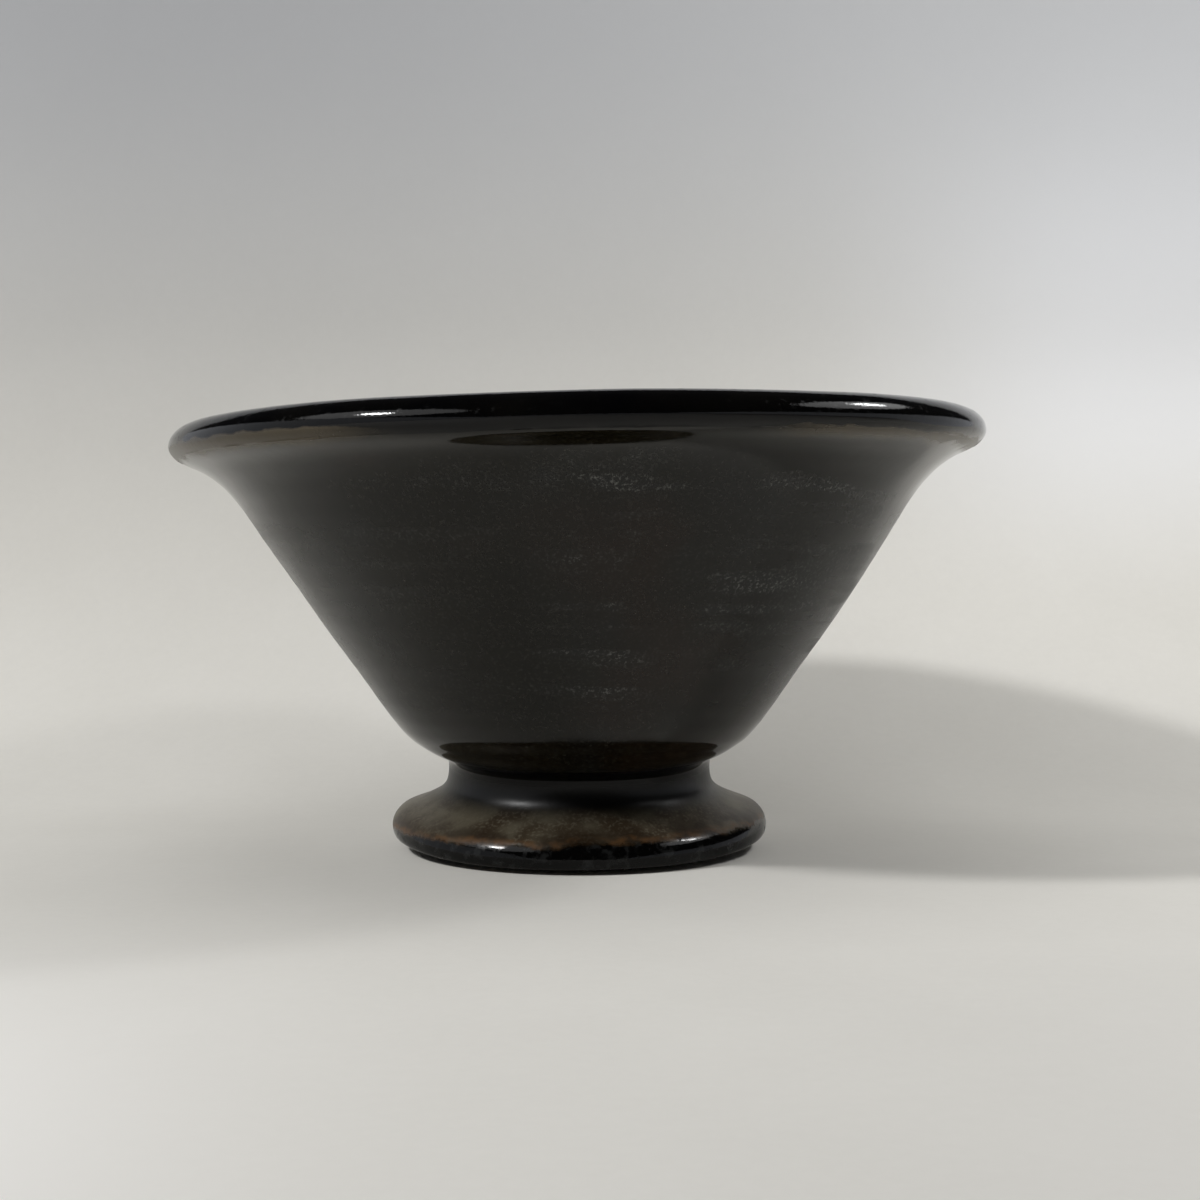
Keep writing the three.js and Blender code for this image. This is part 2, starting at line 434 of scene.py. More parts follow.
def spline_through(points):
    """A natural cubic spline through points, as a function of distance, and each point's distance."""
    gaps = np.hypot(*np.diff(points, axis=0).T)
    at = np.concatenate([[0], np.cumsum(gaps)])
    count = len(points)
    system = np.eye(count)
    load = np.zeros((count, 2))
    for i in range(1, count - 1):
        system[i, i - 1 : i + 2] = gaps[i - 1], 2 * (gaps[i - 1] + gaps[i]), gaps[i]
        slopes = (points[i + 1] - points[i]) / gaps[i], (points[i] - points[i - 1]) / gaps[i - 1]
        load[i] = 6 * (slopes[0] - slopes[1])
    bend = np.linalg.solve(system, load)

    def along(distance):
        i = np.clip(np.searchsorted(at, distance, side="right") - 1, 0, count - 2)
        gap = gaps[i][:, None]
        done = (distance - at[i])[:, None]
        left = gap - done
        curve = (bend[i] * left**3 + bend[i + 1] * done**3) / (6 * gap)
        start = points[i] / gap - bend[i] * gap / 6
        end = points[i + 1] / gap - bend[i + 1] * gap / 6
        return curve + start * left + end * done

    return along, at


def steps_along(first, last, step):
    return np.linspace(first, last, max(2, round((last - first) / step) + 1))


def right_of(ahead):
    """The way out of the solid, which lies to the right of a path that goes ahead."""
    ahead = ahead / np.linalg.norm(ahead, axis=1)[:, None]
    return np.stack([ahead[:, 1], -ahead[:, 0]], axis=1)


beyond_axis = liner_run[-4:-1][::-1] * (-1, 1)
skin, skin_at = spline_through(np.vstack([foot_run, wall_run[1:], liner_run[1:], beyond_axis]))
base_at = skin_at[len(foot_run) - 1]
lap_at = skin_at[len(foot_run) + len(wall_run) - 2]
floor_at = skin_at[-1 - len(beyond_axis)]
foot_radius = foot_run[:, 0].max()
coat_depth = min(
    float(np.linalg.norm(run[-1] - run[0])) for run in runs_between_corners(half_section("foot_glaze"))
)
print("outline, mm:", round(floor_at / MM, 1), "glaze thickness, mm:", round(coat_depth / MM, 2))

# %% [markdown]
# ## Rows along the outline
# The shapes to be turned are kept as rows. A row holds a point, the way out of the surface there, how far
# the surface may show throwing marks, and how far an edge may waver. A plain list of points would be
# enough for a smooth solid, but a thrown one needs to know which of its faces a hand has touched.

# %% Rows
NUDGE = 0.05 * MM
ROUND_STEPS = 6


def ease(value):
    value = np.clip(value, 0, 1)
    return value * value * (3 - 2 * value)


def skin_out(distance):
    return right_of(skin(distance + NUDGE) - skin(distance - NUDGE))


def rows_on_skin(distance, lift=0.0, seen=1.0, waver=0.0):
    """Rows that follow the outline, lifted off it, or sunk into it where the lift is negative."""
    each = np.ones(len(distance))
    out = skin_out(distance)
    points = skin(distance) + out * (lift * each)[:, None]
    return np.column_stack([points, out, seen * each, waver * each])


def round_between(before, after):
    """A half round edge from the end of one run of rows to the start of the next."""
    start, end = before[-1, :2], after[0, :2]
    half = (start - end) / 2
    bulge = np.array([-half[1], half[0]])
    angles = np.linspace(0, math.pi, ROUND_STEPS + 2)[1:-1, None]
    spokes = half * np.cos(angles) + bulge * np.sin(angles)
    out = spokes / np.linalg.norm(half)
    each = np.ones(ROUND_STEPS)
    return np.column_stack([(start + end) / 2 + spokes, out, 0 * each, before[-1, 5] * each])


print("way out at the lap:", skin_out(np.array([lap_at])).round(2))

# %% [markdown]
# ## Sections of the three coats
# A coat of glaze is a thin skin: its outer face is the outline, its inner face lies on the clay. Each
# section is a closed path of rows. Where two coats meet at the waist there is a fine crease. At the lip
# the black liner was poured last, so it laps over the brown coat as a thin tongue, and the brown coat
# tapers away beneath it.

# %% Sections of the glaze
HIDDEN_STEP = 1.5 * MM
CREASE_DEPTH = 0.18 * MM
CREASE_WIDTH = 1.1 * MM
EDGE_WAVER_REACH = 4 * MM
LAP_PROUD = 0.16 * MM
LAP_FADE = 7 * MM
LAP_OVERLAP = 3.5 * MM
LAP_EDGE_THICKNESS = 0.05 * MM


def foot_coat():
    outside = steps_along(0, base_at, OUTLINE_STEP)
    inside = steps_along(0, base_at, HIDDEN_STEP)[::-1]
    crease = -CREASE_DEPTH * (1 - ease((base_at - outside) / CREASE_WIDTH))
    face = rows_on_skin(outside, crease, 1, 1 - ease(outside / EDGE_WAVER_REACH))
    back = rows_on_skin(inside, -coat_depth, 0, 1 - ease(inside / EDGE_WAVER_REACH))
    return np.vstack([face, back, round_between(back, face)])


def wall_coat():
    outside = steps_along(base_at, lap_at + LAP_OVERLAP, OUTLINE_STEP)
    inside = steps_along(base_at, lap_at + LAP_OVERLAP, HIDDEN_STEP)[-2::-1]
    crease = CREASE_DEPTH * (1 - ease((outside - base_at) / CREASE_WIDTH))
    taper = coat_depth * ease((outside - lap_at) / LAP_OVERLAP)
    face = rows_on_skin(outside, -crease - taper, outside < lap_at)
    return np.vstack([face, rows_on_skin(inside, -coat_depth, 0)])


def liner_coat():
    outside = steps_along(lap_at, floor_at, OUTLINE_STEP)
    inside = steps_along(lap_at, floor_at, HIDDEN_STEP)[::-1]
    proud = LAP_PROUD * (1 - ease((outside - lap_at) / LAP_FADE))
    under = coat_depth * ease((inside - lap_at) / LAP_OVERLAP) + LAP_EDGE_THICKNESS
    face = rows_on_skin(outside, proud, 1, 1 - ease((outside - lap_at) / EDGE_WAVER_REACH))
    back = rows_on_skin(inside, -under, 0, 1 - ease((inside - lap_at) / EDGE_WAVER_REACH))
    face[-1, :4] = 0, face[-1, 1], 0, 1
    back[0, :4] = 0, back[0, 1], 0, -1
    return np.vstack([back, round_between(back, face), face])


sections = {"foot_glaze": foot_coat(), "outer_glaze": wall_coat(), "liner_glaze": liner_coat()}
for name, rows in sections.items():
    print(name, "rows:", len(rows))

# %% [markdown]
# ## Sections of the clay
# Under the glaze the clay of the bowl follows the same smooth outline, a hair deeper, so that none of it
# can show through. The foot and the slip are bare inside: there the corners were sponged or worn round,
# so each sharp corner of the solid's section is cut back a little and replaced by a short curve.

# %% Sections of the clay
CLAY_GAP = 0.1 * MM
WORN_CORNER = 0.45 * MM
GENTLE_TURN = 30
CORNER_STEPS = 5


def soft_corner(before, here, after):
    """A short curve that cuts a corner: all of a gentle one, but only the worn tip of a sharp one."""
    back, ahead = before - here, after - here
    sides = np.linalg.norm(back), np.linalg.norm(ahead)
    gentle = turning(-back[None], ahead[None])[0] < GENTLE_TURN
    reach = min(sides) / 2 if gentle else min(WORN_CORNER, min(sides) / 2)
    start = here + back / sides[0] * reach
    end = here + ahead / sides[1] * reach
    share = np.linspace(0, 1, CORNER_STEPS)[:, None]
    return (1 - share) ** 2 * start + 2 * share * (1 - share) * here + share**2 * end


def bowl_clay():
    """Rows from the middle of the underside, round the lip, to the middle of the floor."""
    rows = rows_on_skin(steps_along(base_at, floor_at, HIDDEN_STEP), -coat_depth - CLAY_GAP)
    rows[-1, :4] = 0, rows[-1, 1], 0, 1
    middle = 0, rows[0, 1], 0, -1, 1, 0
    return np.vstack([middle, rows])


def softened_section(node):
    """The section of a ring with worn corners, in rows like those of the glaze."""
    points = half_section(node)
    loop = np.vstack([points[-2], points])
    points = np.vstack([soft_corner(*loop[i : i + 3]) for i in range(len(loop) - 2)])
    each = np.ones(len(points))
    out = right_of(np.gradient(points, axis=0))
    return np.column_stack([points, out, each, 0 * each])


sections["bowl_body"] = bowl_clay()
for name in ("pedestal_foot", "luting_slip"):
    sections[name] = softened_section(name)
for name in ("bowl_body", "pedestal_foot", "luting_slip"):
    print(name, "rows:", len(sections[name]))

# %% [markdown]
# ## Throwing the form
# A wheel turns a section into a pot, and so does this Geometry Nodes tree. It makes a grid with a row
# for each row of the section and a column for each side, then sets every grid point to its place round
# the axis. A Screw modifier could do that much. The tree can also do what hands do: leave a shallow
# spiral of throwing marks, make the surface a little lumpy, let a poured edge waver, and let the whole
# pot be a little askew.

# %% Tree inputs
FORM_INPUTS = {
    "Section": ("NodeSocketGeometry", None),
    "Sides": ("NodeSocketInt", 256),
    "Ring Spacing": ("NodeSocketFloat", 5 * MM),
    "Ring Depth": ("NodeSocketFloat", 0.012 * MM),
    "Lump Size": ("NodeSocketFloat", 16 * MM),
    "Lump Depth": ("NodeSocketFloat", 0.06 * MM),
    "Edge Waver": ("NodeSocketFloat", 0.0),
    "Seed": ("NodeSocketFloat", 0.0),
    "Material": ("NodeSocketMaterial", None),
}


def new_form_tree():
    tree = bpy.data.node_groups.new("Thrown form", "GeometryNodeTree")
    tree.interface.new_socket("Piece", in_out="OUTPUT", socket_type="NodeSocketGeometry")
    for name, (kind, value) in FORM_INPUTS.items():
        socket = tree.interface.new_socket(name, in_out="INPUT", socket_type=kind)
        if value is not None:
            socket.default_value = value
    return tree


form_tree = new_form_tree()
form = Sketch(form_tree)
given = form.node("NodeGroupInput").outputs
print("tree inputs:", len(given) - 1)

# %% [markdown]
# The grid's points are numbered up each column in turn, so whole-number division gives the column of a
# point and the remainder gives its row. The row then fetches the values that the section holds there.


# %% Grid of rows and columns
def whole(operation, first, second):
    kind = "FunctionNodeIntegerMath"
    return form.node(kind, {0: first, 1: second}, operation=operation).outputs[0]


def row_value(kind, name=None):
    if name is None:
        field = form.node("GeometryNodeInputPosition").outputs[0]
    else:
        field = form.node("GeometryNodeInputNamedAttribute", {"Name": name}, data_type=kind).outputs[0]
    inputs = {"Geometry": given["Section"], "Value": field, "Index": row}
    return form.node("GeometryNodeSampleIndex", inputs, data_type=kind).outputs[0]


row_count = form.node("GeometryNodeAttributeDomainSize", {0: given["Section"]}).outputs["Point Count"]
columns = whole("ADD", given["Sides"], 1)
grid = form.node("GeometryNodeMeshGrid", {"Vertices X": columns, "Vertices Y": row_count})
point_number = form.node("GeometryNodeInputIndex").outputs[0]
row = whole("MODULO", point_number, row_count)
column = whole("DIVIDE_FLOOR", point_number, row_count)

radius, _, height = form.split(row_value("FLOAT_VECTOR"))
out_radius, _, out_height = form.split(row_value("FLOAT_VECTOR", "out"))
seen = row_value("FLOAT", "seen")
waver = row_value("FLOAT", "waver")
distance = row_value("FLOAT", "distance")

turn = form.math("DIVIDE", form.times(column, 2 * math.pi), given["Sides"])
cosine = form.math("COSINE", turn)
sine = form.math("SINE", turn)
print("nodes so far:", len(form_tree.nodes))

# %% [markdown]
# Throwing marks are a sine wave along the section whose phase grows once in each turn, which makes a
# single spiral. Lumps are noise in space. Both push the surface along its own way out. A wavering edge
# slides along the section instead, by coarse noise and finer noise round the pot.

# %% Marks of the hand
RING_WANDER = 2.5
RING_WANDER_SCALE = 30.0
SLOW_WAVER_SCALE = 2.5
QUICK_WAVER_SCALE = 13.0
QUICK_WAVER = 0.6


def swing(where, scale, detail=2.0):
    """Noise between about -1 and 1."""
    return form.minus(form.times(form.noise(where, scale, detail), 2.0), 1.0)


around = form.join(cosine, sine, given["Seed"])
seeded_height = form.plus(height, given["Seed"])
in_space = form.join(form.times(radius, cosine), form.times(radius, sine), seeded_height)
threads = form.times(form.math("DIVIDE", distance, given["Ring Spacing"]), 2 * math.pi)
wander = form.times(swing(in_space, RING_WANDER_SCALE), RING_WANDER)
wave = form.math("SINE", form.plus(form.plus(threads, turn), wander))
lumps = swing(in_space, form.math("DIVIDE", 1.0, given["Lump Size"]))
marks = form.plus(form.times(wave, given["Ring Depth"]), form.times(lumps, given["Lump Depth"]))
lift = form.times(seen, marks)
quick = form.times(swing(around, QUICK_WAVER_SCALE, 3.0), QUICK_WAVER)
ragged = form.plus(swing(around, SLOW_WAVER_SCALE), quick)
slip = form.times(form.times(waver, ragged), given["Edge Waver"])

push_out = form.minus(form.times(out_radius, lift), form.times(out_height, slip))
push_up = form.plus(form.times(out_height, lift), form.times(out_radius, slip))
marked_radius = form.plus(radius, push_out)
marked_height = form.plus(height, push_up)
print("nodes so far:", len(form_tree.nodes))

# %% [markdown]
# Then the shape of the whole pot. This one leans and is a little oval, its rim sways, and the bowl sits
# askew on the foot. At the front the rounded edge of the foot dips and is tucked in, and the underside
# of the lip is lifted. The base of the bowl is lifted too, above the crease at the front and with the
# crease elsewhere. Most of these slips of the hand are pushes that fade in and out with height. All the
# pieces get the same pushes, so the coats stay on the clay.

# %% Slips of the hand
LEAN = -0.001
BELLY_SHIFT = 0.45 * MM
OVAL = 0.002
OVAL_TURN = 0.6
RIM_SWAY = 0.25 * MM
RIM_SWAY_SCALE = 1.6
BOWL_TILT = 0.018
FOOT_TUCK = 2.0 * MM
FOOT_DIP = 2.3 * MM
EDGE_DROP = 1.0 * MM
SLOPE_DROP = 0.4 * MM
BASE_LIFT = 0.8 * MM
LIP_LIFT = 0.6 * MM


def window(*heights):
    """The band between four heights in mm, where it starts, is full, fades and is gone."""
    return form.band(height, *(level * MM for level in heights))


in_foot = window(1, 4.8, 18.8, 22)
in_edge = window(1, 4.8, 8, 13)
in_slope = window(8.5, 11, 14, 17)
base_beside = window(14, 19, 19.3, 22.5)
base_at_front = window(19, 22.5, 21, 34)
in_belly = window(22, 42, 50, 72)
under_lip = window(66, 77, 80.5, 84)
low_on_foot = form.rise(height, 13 * MM, 4 * MM)
in_bowl = form.rise(height, 17 * MM, 40 * MM)
front = form.rise(sine, 0.2, -1.0)
share_up = form.math("DIVIDE", height, bowl_height)
near_rim = form.math("POWER", share_up, 4.0)

twice_round = form.math("COSINE", form.plus(form.times(turn, 2.0), OVAL_TURN))
oval = form.times(twice_round, form.times(share_up, OVAL))
tuck = form.times(form.times(low_on_foot, front), FOOT_TUCK)
final_radius = form.minus(form.times(marked_radius, form.plus(1.0, oval)), tuck)
lean = form.plus(form.times(marked_height, LEAN), form.times(in_belly, BELLY_SHIFT))

foot_dip = form.times(form.times(radius, in_foot), FOOT_DIP / foot_radius)
front_drop = form.plus(foot_dip, form.times(in_edge, EDGE_DROP))
drop = form.plus(form.times(front, front_drop), form.times(in_slope, SLOPE_DROP))
base_lift = form.times(form.slide(front, base_beside, base_at_front), BASE_LIFT)
lip_lift = form.times(form.times(under_lip, front), LIP_LIFT)
dip = form.minus(form.plus(base_lift, lip_lift), drop)
same_around = form.join(cosine, sine, 0.0)
sway = form.times(form.times(swing(same_around, RIM_SWAY_SCALE, 0.0), RIM_SWAY), near_rim)
tilt = form.times(form.times(form.times(radius, cosine), in_bowl), BOWL_TILT)
print("nodes so far:", len(form_tree.nodes))

# %% [markdown]
# Last, the points are set, the seam and the poles are welded, and the piece gets smooth shading, a UV
# map, its height on the wheel for the materials to read, and its own material.

# %% Placing the points
WELD = 0.001 * MM

place = form.join(
    form.plus(form.times(final_radius, cosine), lean),
    form.times(final_radius, sine),
    form.plus(form.plus(marked_height, dip), form.plus(tilt, sway)),
)
placed = form.node("GeometryNodeSetPosition", {"Geometry": grid.outputs[0], "Position": place})
wheel_inputs = {"Geometry": placed.outputs[0], "Name": "wheel_height", "Value": height}
noted = form.node("GeometryNodeStoreNamedAttribute", wheel_inputs, data_type="FLOAT", domain="POINT")
uv_inputs = {"Geometry": noted.outputs[0], "Name": "UVMap", "Value": grid.outputs["UV Map"]}
mapped = form.node("GeometryNodeStoreNamedAttribute", uv_inputs, data_type="FLOAT2", domain="CORNER")
welded = form.node("GeometryNodeMergeByDistance", {"Geometry": mapped.outputs[0], "Distance": WELD})
smooth = form.node("GeometryNodeSetShadeSmooth", {"Geometry": welded.outputs[0]})
real = form.node("GeometryNodeRealizeInstances", {"Geometry": smooth.outputs[0]})
material_inputs = {"Geometry": real.outputs[0], "Material": given["Material"]}
coloured = form.node("GeometryNodeSetMaterial", material_inputs)
form.node("NodeGroupOutput", {"Piece": coloured.outputs[0]})
print("nodes in the tree:", len(form_tree.nodes))

# %% [markdown]
# A section becomes a mesh of loose points that carries its rows' values as attributes. The tree runs
# on it as a modifier, and the result is kept as a plain mesh.


# %% From section to piece
SHARP_EDGE = 40


def section_object(name, rows):
    """Loose points that carry their rows' values. A section that misses the axis is closed to a ring."""
    if rows[0, 0] > 0:
        rows = np.vstack([rows, rows[:1]])
    mesh = bpy.data.meshes.new(name)
    mesh.from_pydata([(radius, 0, height) for radius, height in rows[:, :2]], [], [])
    steps = np.hypot(*np.diff(rows[:, :2], axis=0).T)
    values = {
        "seen": ("FLOAT", rows[:, 4]),
        "waver": ("FLOAT", rows[:, 5]),
        "distance": ("FLOAT", np.concatenate([[0], np.cumsum(steps)])),
    }
    for value_name, (kind, numbers) in values.items():
        mesh.attributes.new(value_name, kind, "POINT").data.foreach_set("value", numbers)
    out = np.stack([rows[:, 2], 0 * rows[:, 2], rows[:, 3]], axis=1)
    mesh.attributes.new("out", "FLOAT_VECTOR", "POINT").data.foreach_set("vector", out.ravel())
    return bpy.data.objects.new(name, mesh)


def thrown(name, node, material, inputs):
    """One finished piece: its section put through the tree, then tied to the frame."""
    piece = section_object(name, sections[node])
    bpy.context.scene.collection.objects.link(piece)
    modifier = piece.modifiers.new("throw", "NODES")
    modifier.node_group = form_tree
    inputs = {"Material": material} | inputs
    for socket in form_tree.interface.items_tree:
        if socket.in_out == "INPUT" and socket.name in inputs:
            modifier[socket.identifier] = inputs[socket.name]
    evaluated = piece.evaluated_get(bpy.context.evaluated_depsgraph_get())
    mesh = bpy.data.meshes.new_from_object(evaluated)
    piece.modifiers.clear()
    piece.data = mesh
    mesh.name = name
    mesh.set_sharp_from_angle(angle=math.radians(SHARP_EDGE))
    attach(piece, "root")
    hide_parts(node)
    print(name, "faces:", len(mesh.polygons))


print("sections ready to be thrown:", list(sections))

# %% [markdown]
# ## Helpers for the glazes
# A glaze changes with where it lies on the pot: how high, how far round from the front, inside or out.
# The materials read the piece's own coordinates for this, and the height that the tree stored, which
# still follows a ring of the wheel where the shape has been pushed. A plain colour with one noise would
# look the same all over, and a painted picture would have to be drawn by hand.

# %% Places on the pot
AROUND_RADIUS = 55 * MM
THICK_FRONT = 20 * MM
THICK_FRONT_END = 33 * MM


def object_place(sketch):
    return sketch.node("ShaderNodeTexCoord").outputs["Object"]


def wheel_height(sketch):
    return sketch.node("ShaderNodeAttribute", attribute_name="wheel_height").outputs["Fac"]


def way_round(sketch, place):
    """The distance round a pot of middling radius, from the middle of the front to the right."""
    x, y, _ = sketch.split(place)
    return sketch.times(sketch.math("ARCTAN2", x, sketch.times(y, -1.0)), AROUND_RADIUS)


def beside_front(sketch, place):
    """0 at the middle of the front, where the glaze ran thick, and 1 away from it."""
    away = sketch.math("ABSOLUTE", way_round(sketch, place))
    return sketch.rise(away, THICK_FRONT, THICK_FRONT_END)


def radius_at(sketch, place):
    x, y, _ = sketch.split(place)
    return sketch.math("SQRT", sketch.plus(sketch.times(x, x), sketch.times(y, y)))


def stretched(sketch, place, round_scale, up_scale):
    """The place with one scale round the pot and another one up it, for marks that run in rows."""
    x, y, z = sketch.split(place)
    return sketch.join(
        sketch.times(x, round_scale), sketch.times(y, round_scale), sketch.times(z, up_scale)
    )


def ragged_height(sketch, place, scale, reach):
    """The height on the wheel, pushed up and down by a noise, for borders that wander."""
    push = sketch.times(sketch.minus(sketch.noise(place, scale, 4), 0.5), 2 * reach)
    return sketch.plus(wheel_height(sketch), push)


def add_bump(sketch, shader, height, depth):
    inputs = {"Height": height, "Distance": depth}
    sketch.feed(shader.inputs["Normal"], sketch.node("ShaderNodeBump", inputs).outputs[0])


print("the thick front, degrees:", round(math.degrees(2 * THICK_FRONT / AROUND_RADIUS)))

# %% [markdown]
# ## The black liner glaze
# The liner is a true black glaze: almost no colour of its own, and a surface like black glass. What is
# seen is the room, mirrored, so the shader needs little more than a low index of refraction and fine
# pits. Low on the outside of the lip, beside the front, the glaze ran thin and turned to bronze.

# %% Black glaze: colour
BLACK = (0.0008, 0.0008, 0.001, 1)
WARM_BLACK = (0.003, 0.0027, 0.0022, 1)
BRONZE = (0.09, 0.076, 0.055, 1)
BRONZE_METAL = 0.7
BRONZE_SHARE = 0.85
BRONZE_ROUGHNESS = 0.32
BRONZE_TOP = 81.6 * MM
BRONZE_TOP_LEFT = 83.5 * MM
BRONZE_RAGGED = 1.4 * MM
LIP_INSIDE = 77.5 * MM
LIP_OUTSIDE = 79.5 * MM

black_glaze, sketch, shader = new_material("black glaze")
place = object_place(sketch)
x, _, _ = sketch.split(place)
cloud = sketch.noise(place, 60, 3)
tone = sketch.blend(sketch.rise(cloud, 0.35, 0.7), BLACK, WARM_BLACK)
to_left = sketch.rise(x, -26 * MM, -45 * MM)
bronze_top = sketch.slide(to_left, BRONZE_TOP, BRONZE_TOP_LEFT)
ragged = ragged_height(sketch, place, 150, BRONZE_RAGGED)
below_top = sketch.rise(sketch.minus(bronze_top, ragged), 0.0, 0.5 * MM)
outside = sketch.rise(radius_at(sketch, place), LIP_INSIDE, LIP_OUTSIDE)
thin = sketch.times(sketch.times(below_top, outside), beside_front(sketch, place))
bronze = sketch.times(thin, BRONZE_SHARE)
sketch.feed(shader.inputs["Base Color"], sketch.blend(bronze, tone, BRONZE))
sketch.feed(shader.inputs["Metallic"], sketch.times(bronze, BRONZE_METAL))
print("nodes in the black glaze so far:", len(black_glaze.node_tree.nodes))

# %% [markdown]
# Its gloss is that of glass, with cloudy places that are a little duller and pits that are duller still.

# %% Black glaze: gloss
BLACK_IOR = 1.31
GLASSY = 0.03
CLOUDED = 0.08
PITTED = 0.26
PIT_DEPTH = 0.03 * MM
LINER_INPUTS = {"Edge Waver": 0.7 * MM, "Seed": 3.0}

pits = sketch.rise(sketch.noise(place, 900, 3), 0.56, 0.7)
roughness = sketch.slide(pits, sketch.slide(cloud, GLASSY, CLOUDED), PITTED)
sketch.feed(shader.inputs["Roughness"], sketch.slide(bronze, roughness, BRONZE_ROUGHNESS))
shader.inputs["IOR"].default_value = BLACK_IOR
add_bump(sketch, shader, sketch.noise(place, 700, 4, 0.65), PIT_DEPTH)
thrown("black_liner", "liner_glaze", black_glaze, LINER_INPUTS)

# %% [markdown]
# ## The brown wall glaze
# Outside, the glaze broke in the kiln: black-brown, with rusty and bluish clouds. One noise could do for
# both, but then each rusty place would have the same bluish neighbour, so there are two of different sizes.

# %% Brown glaze: clouds
OLIVE_BROWN = (0.0043, 0.0036, 0.0014, 1)
RUST = (0.0095, 0.0048, 0.0018, 1)
BLUISH = (0.0058, 0.0058, 0.0048, 1)

brown_glaze, sketch, shader = new_material("brown glaze")
place = object_place(sketch)
x, y, z = sketch.split(place)
height = wheel_height(sketch)
rust = sketch.rise(sketch.noise(place, 26, 3), 0.5, 0.68)
blue = sketch.rise(sketch.noise(sketch.join(y, z, x), 34, 3), 0.5, 0.72)
tone = sketch.blend(blue, sketch.blend(rust, OLIVE_BROWN, RUST), BLUISH)
print("nodes for the clouds:", len(brown_glaze.node_tree.nodes))

# %% [markdown]
# Handling has left rows of fine pale scuffs, most of them right of the front, and a worn patch under the
# lip. A noise that is stretched round the pot gives the rows, a second one breaks them into clusters, and
# a fine one gives the flecks in them.

# %% Brown glaze: scuffs
WORN = (0.014, 0.0152, 0.0155, 1)
FLECK = (0.125, 0.125, 0.116, 1)
SCUFF_BAND = (22 * MM, 27 * MM, 74 * MM, 78 * MM)
LEFT_SHARE = 0.2
PATCH_BAND = (68 * MM, 73.5 * MM, 77 * MM, 79 * MM)
PATCH_MIDDLE = 2 * MM
PATCH_CORE = 5 * MM
PATCH_REACH = 15 * MM
PATCH_WORN = 0.6
PATCH_FLECKS = 0.3
WORN_SHARE = 0.45

rows = sketch.rise(sketch.noise(stretched(sketch, place, 22, 300), 1.0), 0.47, 0.68)
clusters = sketch.rise(sketch.noise(stretched(sketch, place, 70, 40), 1.0, 3), 0.37, 0.58)
right_side = sketch.slide(sketch.rise(x, -16 * MM, 8 * MM), LEFT_SHARE, 1.0)
rubbed = sketch.band(height, *SCUFF_BAND)
worn_rows = sketch.times(sketch.times(rows, clusters), sketch.times(right_side, rubbed))

from_patch = sketch.math("ABSOLUTE", sketch.minus(way_round(sketch, place), PATCH_MIDDLE))
in_patch = sketch.times(sketch.band(height, *PATCH_BAND), sketch.rise(from_patch, PATCH_REACH, PATCH_CORE))
patch = sketch.times(in_patch, sketch.rise(sketch.noise(place, 130, 3), 0.38, 0.62))

worn = sketch.math("MAXIMUM", worn_rows, sketch.times(patch, PATCH_WORN))
flecks = sketch.rise(sketch.noise(place, 1500, 4, 0.7), 0.52, 0.66)
scuffs = sketch.times(flecks, sketch.plus(worn_rows, sketch.times(patch, PATCH_FLECKS)))
tone = sketch.blend(sketch.times(worn, WORN_SHARE), tone, WORN)
tone = sketch.blend(scuffs, tone, FLECK)
print("nodes with the scuffs:", len(brown_glaze.node_tree.nodes))

# %% [markdown]
# From close by the glaze is never plain: a fine, faint grain lies all over it, with a few specks. The
# specks sit in the cells of a Voronoi pattern, which keeps them apart as noise would not.

# %% Brown glaze: grain and specks
GRAIN = (0.06, 0.057, 0.05, 1)
GRAIN_SHARE = 0.23
SPECK = (0.1, 0.098, 0.09, 1)
SPECK_STRENGTH = 0.15
SPECK_SPACING = 1.1 * MM
SPECKED_CELLS = 0.03


def dabs(sketch, where, spacing, share):
    """Small separate marks, in a share of the cells of a random pattern."""
    cells = sketch.node("ShaderNodeTexVoronoi", {"Vector": where, "Scale": 1 / spacing})
    lot = sketch.split(cells.outputs["Color"])[0]
    drawn = sketch.rise(lot, 1 - share - 0.05, 1 - share + 0.05)
    return sketch.times(sketch.rise(cells.outputs["Distance"], 0.42, 0.16), drawn)


grain = sketch.rise(sketch.noise(place, 1600, 3), 0.5, 0.75)
specks = dabs(sketch, place, SPECK_SPACING, SPECKED_CELLS)
tone = sketch.blend(sketch.times(grain, GRAIN_SHARE), tone, GRAIN)
tone = sketch.blend(sketch.times(specks, SPECK_STRENGTH), tone, SPECK)
print("nodes with the grain:", len(brown_glaze.node_tree.nodes))

# %% [markdown]
# Close under the lap this glaze is bronze as well, with a ragged border. The wall is glossy near its base
# and under the lip, and satin in between, where hands have held it.

# %% Brown glaze: bronze and gloss
BROWN_IOR = 1.36
WALL_BRONZE_LEFT = 79.5 * MM
WALL_BRONZE_RIGHT = 78.8 * MM
WALL_BRONZE_FADE = 1.4 * MM
WALL_BRONZE_RAGGED = 1.1 * MM
HELD_BAND = (22 * MM, 32 * MM, 66 * MM, 75 * MM)
GLOSSY = 0.08
SATIN = 0.27
UNEVEN = 0.12
WORN_ROUGHER = 0.1
SCUFFED = 0.6
WALL_BUMP = 0.012 * MM

